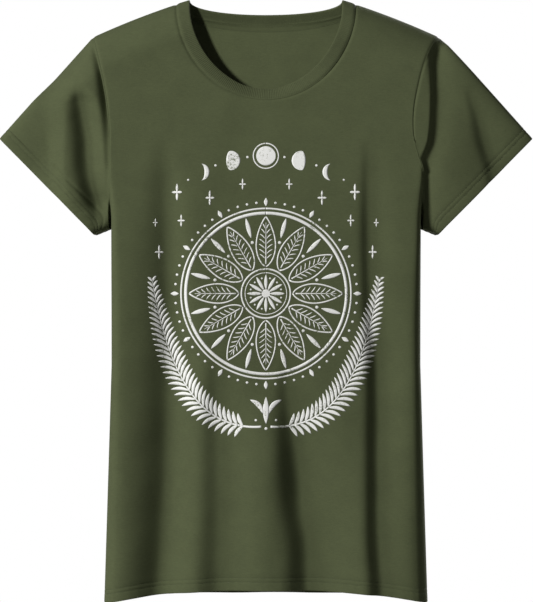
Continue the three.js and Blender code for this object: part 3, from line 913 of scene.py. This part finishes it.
def neck_ring(count):
    """Points of the neck seam right round, even along it, with the direction out of the cloth and the angle
    round the neck of each: the front from the wearer's right, then the back."""
    share = np.linspace(-NECK_SHARE, NECK_SHARE, 3001)
    turn = np.sign(share) * neck_turn(np.abs(share))
    line = np.concatenate([panel_point(FRONT, share, 1.0), panel_point(BACK, share[::-1], 1.0)[1:]])
    angle = np.concatenate([turn, math.pi - turn[::-1][1:]])
    run = run_length(line, 0)
    place = np.arange(count) / count * run[-1]
    angle = np.interp(place, run, angle)
    at = at_places(place, run, line)
    in_front, behind = (facing_out(panel, at[:, 0], at[:, 2] - 1.5, 0.5) for panel in (FRONT, BACK))
    return at, np.where(np.cos(angle)[:, None] > 0, in_front, behind), angle


def add_collar():
    """The ribbed collar: a band folded double, whose section is two faces joined by a half round, swept
    round the neck seam. Its ribs are ridges with a narrow groove between them, and it dips into the seam at
    its foot."""
    at, out, angle = neck_ring(RIBS * PER_RIB)
    ahead = np.cos(angle)
    front = ahead > 0
    tilt = np.radians(lerp(RIB_TILT_SIDE, np.where(front, FRONT["rib_tilt"], BACK["rib_tilt"]), ahead**2))
    level = stacked(-np.sin(angle), ahead, 0 * angle)
    rise = level * np.cos(tilt)[:, None] + np.array([0, 0, 1.0]) * np.sin(tilt)[:, None]
    along_seam = unit(np.roll(at, -1, 0) - np.roll(at, 1, 0))
    lean = lerp(*RIB_LEAN, ahead**4) - RIB_TURNED * np.maximum(0, np.sin(angle))
    lean = np.radians(lean)[:, None]
    laid = unit(np.cross(out, along_seam)) * np.cos(lean) - out * np.sin(lean)
    rise = unit(lerp(rise, laid, smoothstep(ahead, 0.1, 0.5)[:, None]))
    face = unit(np.cross(along_seam, rise))
    at = at - rise * RIB_OVERLAP * smoothstep(-ahead, 0, 0.4)[:, None]
    radius = RIB_THICKNESS / 2
    up = np.array([0.1, 0.8, 1.6, 2.6, 4, 6, 8, 10, 12])
    bend = np.linspace(math.pi / 2, -math.pi / 2, 7)
    along = np.concatenate([up, RIB_WIDTH - radius + radius * np.cos(bend), up[::-1]])
    facing = np.concatenate([up * 0 + 1, np.sin(bend), up * 0 - 1])
    reach = np.concatenate([up * 0, np.cos(bend), up * 0])
    phase = np.arange(RIBS * PER_RIB) % PER_RIB / PER_RIB
    ridge = 1 - 2 * dip(np.minimum(phase, 1 - phase), 1, 0.14)
    relief = RIB_RELIEF * ridge[:, None] * smoothstep(along, 0, 2.5)
    outer = unit(lerp(out[:, None], face[:, None], smoothstep(along, 0, 5)[None, :, None]))
    height = RIB_PROUD - radius + radius * facing + relief * facing - seam_dip(along)
    points = at[:, None] + rise[:, None] * (along + relief * reach)[..., None] + outer * height[..., None]
    half = np.count_nonzero(front)
    return [
        add_tube("collar_front", points[: half + 1]),
        add_tube("collar_back", np.concatenate([points[half:], points[:1]])),
    ]


def add_tube(name, points):
    """One half of the collar, closed at its foot and at both ends."""
    columns, rows = points.shape[:2]
    i = np.arange(columns - 1) * rows
    foot = stacked(i, i + rows - 1, i + 2 * rows - 1, i + rows)
    ends = np.stack([np.arange(rows), (np.arange(rows) + (columns - 1) * rows)[::-1]])
    uv = stacked(run_length(points, 0), run_length(points, 1))
    piece = add_mesh(name, points, np.concatenate([grid_faces(columns, rows), foot]), "rib", uv, ends)
    piece.data.set_sharp_from_angle(angle=math.radians(80))
    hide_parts("collar")
    return piece


def add_stitches(name, lines):
    """Rows of stitches along lines of (points, directions out of the cloth): each a short thread with round
    ends, arched over the cloth."""
    share = np.array([0, 0.1, 0.5, 0.9, 1])
    girth = np.array([0.45, 1, 1, 1, 0.45])
    turn = np.arange(5) * 2 * math.pi / 5
    parts = []
    for line, out in lines:
        run = run_length(line, 0)
        start = np.arange(int(run[-1] / STITCH_PITCH)) * STITCH_PITCH
        place = start[:, None] + 0.25 + share * STITCH_LENGTH
        at = at_places(place, run, line)
        up = unit(at_places(place, run, out))
        along = unit(at[:, -1:] - at[:, :1]) + 0 * at
        beside = unit(np.cross(along, up))
        centre = at + up * (STITCH_LIFT + STITCH_ARCH * np.sin(math.pi * share))[:, None]
        section = beside[:, :, None] * np.cos(turn)[:, None] + up[:, :, None] * np.sin(turn)[:, None]
        parts.append(centre[:, :, None] + section * (THREAD_RADIUS * girth)[:, None, None])
    points = np.concatenate(parts)
    count, stations, around = points.shape[:3]
    j, k = np.meshgrid(np.arange(stations - 1), np.arange(around), indexing="ij")
    here, turned = j * around + k, j * around + (k + 1) % around
    side = stacked(here, turned, turned + around, here + around).reshape(-1, 4)
    first = np.arange(count)[:, None, None] * stations * around
    caps = np.stack([np.arange(around)[::-1], np.arange(around) + (stations - 1) * around])
    caps = (caps + first).reshape(-1, around)
    return add_mesh(name, points, (side + first).reshape(-1, 4), "thread", None, caps)


def hem_lines(framed, piece, u, row):
    """The rows of stitching along the hem of a panel or sleeve, from its frame and its rows above the hem."""
    for distance in TWIN_NEEDLE:
        points, out, _ = framed(piece, u, row(piece, u, distance))
        yield points - out * STITCH_DIP, out


def tape_lines():
    """The row of stitching below the back of the neck, outside and inside, and the short upright stitches
    along the top of the tape."""
    inside = JERSEY + LAYER_GAP + INNER_CLOTH
    s = np.linspace(-0.56, 0.56, 160)
    points, out, _ = panel_frame(BACK, s, rows_below(BACK, s, np.array([TAPE_STITCH]))[:, 0])
    yield points, out
    yield points - out * inside, -out
    s = np.linspace(-0.55, 0.55, 96)
    ends = np.array([0.3, 3.4])
    points, out, _ = panel_frame(BACK, s[:, None], rows_below(BACK, s, ends))
    yield from zip(points - out * (inside + seam_dip(ends))[:, None], -out)


def all_stitches():
    """All the stitching that shows: twin rows round every hem, and the rows that hold the tape."""
    s = panel_columns()
    lines = {
        "front": hem_lines(panel_frame, FRONT, s, hem_share),
        "back": [*hem_lines(panel_frame, BACK, s, hem_share), *tape_lines()],
    }
    for word, sleeve in SLEEVES.items():
        lines[word] = hem_lines(sleeve_frame, sleeve, sleeve_turns(sleeve, 201), sleeve_reach)
    return {word: add_stitches(word + "_stitches", rows) for word, rows in lines.items()}


def stroke(axis, width):
    """A stroke of the print: the patch between two edges on either side of its axis, as (x, z)."""
    along = np.gradient(axis, axis=0)
    across = unit(stacked(-along[:, 1], along[:, 0]))
    half = across * np.broadcast_to(width, len(axis))[:, None] / 2
    return axis + half, axis - half


def polar(centre, radius, angle):
    """Points round a centre, at angles clockwise from straight up."""
    return stacked(centre[0] + radius * np.sin(angle), centre[1] + radius * np.cos(angle))


def spot(radius, angle):
    """A point, or a line of them, round the middle of the medallion."""
    return polar(MEDALLION, radius, angle)


def ring(centre, radius, width):
    turn = np.linspace(0, 2 * math.pi, max(24, int(radius * 4)))
    return stroke(polar(centre, radius, turn), width)


def disc(centre, radius):
    turn = np.linspace(0.12, math.pi - 0.12, max(9, int(radius * 2)))
    x, z = centre[0] - radius * np.cos(turn), radius * np.sin(turn)
    return stacked(x, centre[1] + z), stacked(x, centre[1] - z)


def moon(centre, radius, lit, side):
    """A moon between its round limb and the half ellipse where its lit part ends."""
    turn = np.linspace(0.12, math.pi - 0.12, 28)
    z = centre[1] + radius * np.cos(turn)
    limb = centre[0] + side * radius * np.sin(turn)
    ends = centre[0] + side * (1 - 2 * lit) * radius * np.sin(turn)
    return stacked(limb, z), stacked(ends, z)


def blade(start, end, width, bend=0.0, fullness=0.8, count=9):
    """A leaf or ray from one point to another, bent to one side, widest near its middle, with narrow ends."""
    share = np.linspace(0, 1, count)
    start, end = np.array(start, float), np.array(end, float)
    run = end - start
    aside = np.array([-run[1], run[0]]) * bend
    axis = start + share[:, None] * run + np.sin(math.pi * share)[:, None] * aside
    return stroke(axis, width * np.sin(math.pi * share) ** fullness + 0.25)


def ray(inner, outer, angle, width, fullness=0.8, count=9):
    """A straight blade that points away from the middle of the medallion."""
    return blade(spot(inner, angle), spot(outer, angle), width, 0, fullness, count)


def spark(centre, size):
    """A small star of four blades."""
    turns = np.arange(4) * math.pi / 2
    tips = [polar(centre, size if k % 2 == 0 else size * 0.62, turn) for k, turn in enumerate(turns)]
    return [blade(centre, tip, size * 0.26, count=7) for tip in tips] + [disc(centre, size * 0.17)]


def petal(angle):
    """A petal of the medallion: two outlines that meet at its ends, a vein, and hatching beside it."""
    share = np.linspace(0, 1, 30)
    swell = np.sin(math.pi * share**0.85) ** 0.8
    radius = lerp(PETAL_FOOT, PETAL_TIP, share)
    strokes = []
    for side in (-1, 1):
        strokes.append(stroke(spot(radius, angle + side * PETAL_SPREAD * swell / radius), 1.5))
        for k in range(7):
            foot = lerp(PETAL_FOOT, PETAL_TIP, 0.16 + 0.1 * k)
            reach = PETAL_SPREAD * math.sin(math.pi * (0.26 + 0.1 * k) ** 0.85) ** 0.8 * 0.72
            tip = spot(foot + 5.5, angle + side * reach / (foot + 5.5))
            strokes.append(blade(spot(foot, angle + side * 0.8 / foot), tip, 0.95, 0.06 * side, 0.5, 6))
    vein = np.linspace(PETAL_FOOT + 3, PETAL_TIP - 6, 24)
    strokes.append(stroke(spot(vein, angle), np.linspace(1.5, 0.4, 24)))
    return strokes


def frond(side):
    """A fern frond that bends up beside the medallion: a tapering stem with pairs of leaflets."""
    share = np.linspace(0, 1, 90)[:, None]
    a, b, c = np.array(FROND) * (side, 1)
    stem = a * (1 - share) ** 2 + b * 2 * share * (1 - share) + c * share**2
    strokes = [stroke(stem, np.linspace(2.4, 0.6, 90))]
    run = run_length(stem, 0)
    for place in lerp(0.09, 0.985, np.arange(34) / 33):
        root = at_places(place * run[-1], run, stem)
        ahead = at_places(place * run[-1] + 1, run, stem) - root
        if place > 0.98:
            ahead = stem[-1] - stem[-2]
        heading = math.atan2(ahead[1], ahead[0])
        length = 19.5 * math.sin(math.pi * lerp(0.16, 0.93, place)) ** 0.8 + 1
        for turn in (-1, 1):
            lean = heading + turn * math.radians(lerp(62, 38, place))
            tip = root + length * np.array([math.cos(lean), math.sin(lean)])
            strokes.append(blade(root, tip, lerp(4.0, 2.4, place), -0.09 * turn, 0.75, 8))
    return strokes


def print_strokes():
    """All the strokes of the print: moons in an arc, petals in rings, two fronds and small sparks."""
    strokes = [ring(MEDALLION, *each) for each in ((92, 1.8), (87, 3.2), (26.5, 1.8), (22.5, 0.9))]
    for k in range(60):
        angle = k * math.pi / 30
        strokes.append(disc(spot(98.5, angle), 1.35) if k % 5 else ray(94.5, 103.5, angle, 4.2, 1.2))
    for k in range(12):
        angle = k * math.pi / 6
        between = angle + math.pi / 12
        strokes += petal(angle)
        strokes += [ray(62, 84, between, 4.4, count=14), disc(spot(57, between), 1.7)]
        strokes += [ray(4, 20.5, angle, 3.4), disc(spot(17, between), 1.0)]
    strokes += [disc(MEDALLION, 4.6), disc(spot(MOON_ARC, 0), 10.5), ring(spot(MOON_ARC, 0), 13.6, 1.3)]
    for side in (-1, 1):
        strokes.append(moon(spot(MOON_ARC, side * 0.26), 10.5, 0.72, -side))
        strokes.append(moon(spot(MOON_ARC, side * 0.49), 9.0, 0.3, -side))
        for turn, size in ((0.135, 1.3), (0.375, 1.3), (0.60, 1.1)):
            strokes.append(disc(spot(MOON_ARC, side * turn), size))
        for radius, turn, size in SPARKS:
            strokes += spark(spot(radius, side * turn), size)
        strokes += frond(side)
        strokes.append(blade((side * 3, -452), (side * 17, -437), 5.0, 0.14 * side, 0.8, 10))
        strokes.append(disc((side * 11, -459), 1.3))
    return strokes + [blade((0, -463), (0, -434), 6.5, 0, 0.9, 14), disc((0, -468), 1.6)]


def add_print():
    """The ink as thin closed plates on the front's outer face, one for each stroke, each a hair above the
    last where they cross."""
    points, faces, flat, count = [], [], [], 0
    for k, (one, other) in enumerate(print_strokes()):
        share = np.linspace(0, 1, 2 + int(norm(one - other).max() / INK_GRID))[None, :, None]
        at = lerp(one[:, None], other[:, None], share)
        along, across = np.diff(at[:, :-1], axis=0), np.diff(at[:-1], axis=1)
        if (along[..., 0] * across[..., 1] - along[..., 1] * across[..., 0]).sum() < 0:
            at = at[:, ::-1]
        x, z = at[..., 0], at[..., 1]
        on = stacked(x, -depth(FRONT, x, z), z)
        out = facing_out(FRONT, x, z, 0.4)
        plate, quads = layered(on + out * (INK_TOP + k % 8 * INK_STEP), on - out * INK_FOOT)
        points.append(plate.reshape(-1, 3))
        faces.append(quads + count)
        flat.append(np.stack([at, at]).reshape(-1, 2))
        count += len(points[-1])
    uv = np.concatenate(flat)
    return add_mesh("chest_print", np.concatenate(points), np.concatenate(faces), "print", uv)


def add_camera():
    """The camera of the photograph: level, straight in front of the chest."""
    camera = bpy.data.cameras.new("camera")
    camera.lens = camera.sensor_width * -CAMERA[1] / (PHOTO_HEIGHT * PIXEL)
    camera.clip_end = 100
    eye = add_object("camera", camera)
    eye.location = [part * MM for part in CAMERA]
    eye.rotation_euler = (math.pi / 2, 0, 0)
    bpy.context.scene.camera = eye


def add_light(name, place, size, power, only=()):
    """A round area light that looks at the middle of the shirt, and lights only the given pieces, if any."""
    lamp = bpy.data.lights.new(name, "AREA")
    lamp.shape = "DISK"
    lamp.size = size
    lamp.energy = power
    light = add_object(name, lamp)
    light.location = place
    light.rotation_euler = (Vector(MIDDLE) - Vector(place)).to_track_quat("-Z", "Y").to_euler()
    if only:
        lit = bpy.data.collections.new(name)
        for piece in only:
            lit.objects.link(piece)
        light.light_linking.receiver_collection = lit


def add_studio(front_pieces, back_pieces):
    """White all round for the camera and a little light from everywhere, the lamps, and a pale floor. The
    front is lit from its right; the back, whose inside shows through the neck, from beside and from a small
    lamp in front."""
    add_light("key_light", (-5.04, -4.23, 2.06), 1.85, 590, front_pieces)
    add_light("side_light", (-5.6, 1.4, 2.0), 1.85, 350, back_pieces)
    add_light("neck_light", (-0.62, -3.2, 0), 0.12, 101, back_pieces)
    add_light("back_light", (1.2, 3.0, 0.8), 1.5, 95)
    world = bpy.data.worlds.new("studio")
    bpy.context.scene.world = world
    shader = Shader(world)
    seen, lit = (shader.node("Background", {0: (1, 1, 1, 1), 1: strength}) for strength in (1, WORLD_LIGHT))
    shader.end("World", shader.node("MixShader", {0: shader.node("LightPath"), 1: lit, 2: seen}))
    bpy.context.scene.view_settings.view_transform = "Standard"
    add_floor()


def add_floor():
    """A round pale floor, well below the hem, under a lamp of its own. No light comes back from it."""
    turn = np.linspace(0, 2 * math.pi, 96, endpoint=False)
    points = stacked(np.cos(turn) * FLOOR_RADIUS, np.sin(turn) * FLOOR_RADIUS, 0 * turn + FLOOR_Z)
    mesh = bpy.data.meshes.new("floor")
    mesh.from_pydata(points.tolist(), [], [list(range(len(points)))])
    mesh.materials.append(new_finish("floor").finish((0.8, 0.8, 0.79, 1), 0.9))
    floor = add_object("floor", mesh)
    floor.visible_diffuse = False
    add_light("floor_light", (0, 0, 4), 24, 1900, [floor])


def main():
    add_camera()
    front = add_panel("front_jersey", FRONT, ["front_panel", "front_hem"])
    back = add_panel("back_jersey", BACK, ["back_panel", "back_hem"])
    sleeves = {name: add_sleeve(name, sleeve) for name, sleeve in SLEEVES.items()}
    inner = add_allowances()
    collar = add_collar()
    stitches = all_stitches()
    ink = add_print()
    shoulders = [inner["right_shoulder_seam"], inner["left_shoulder_seam"]]
    for name, sleeve in sleeves.items():
        with_sleeve = [inner[name + "_armhole_seam"], stitches[name]]
    back_pieces = [back, collar[1], inner["neck_tape"], stitches["back"], *shoulders]
    meshes = [piece for piece in bpy.context.scene.objects if piece.type == "MESH"]
    add_studio([piece for piece in meshes if piece not in back_pieces], back_pieces)


main()
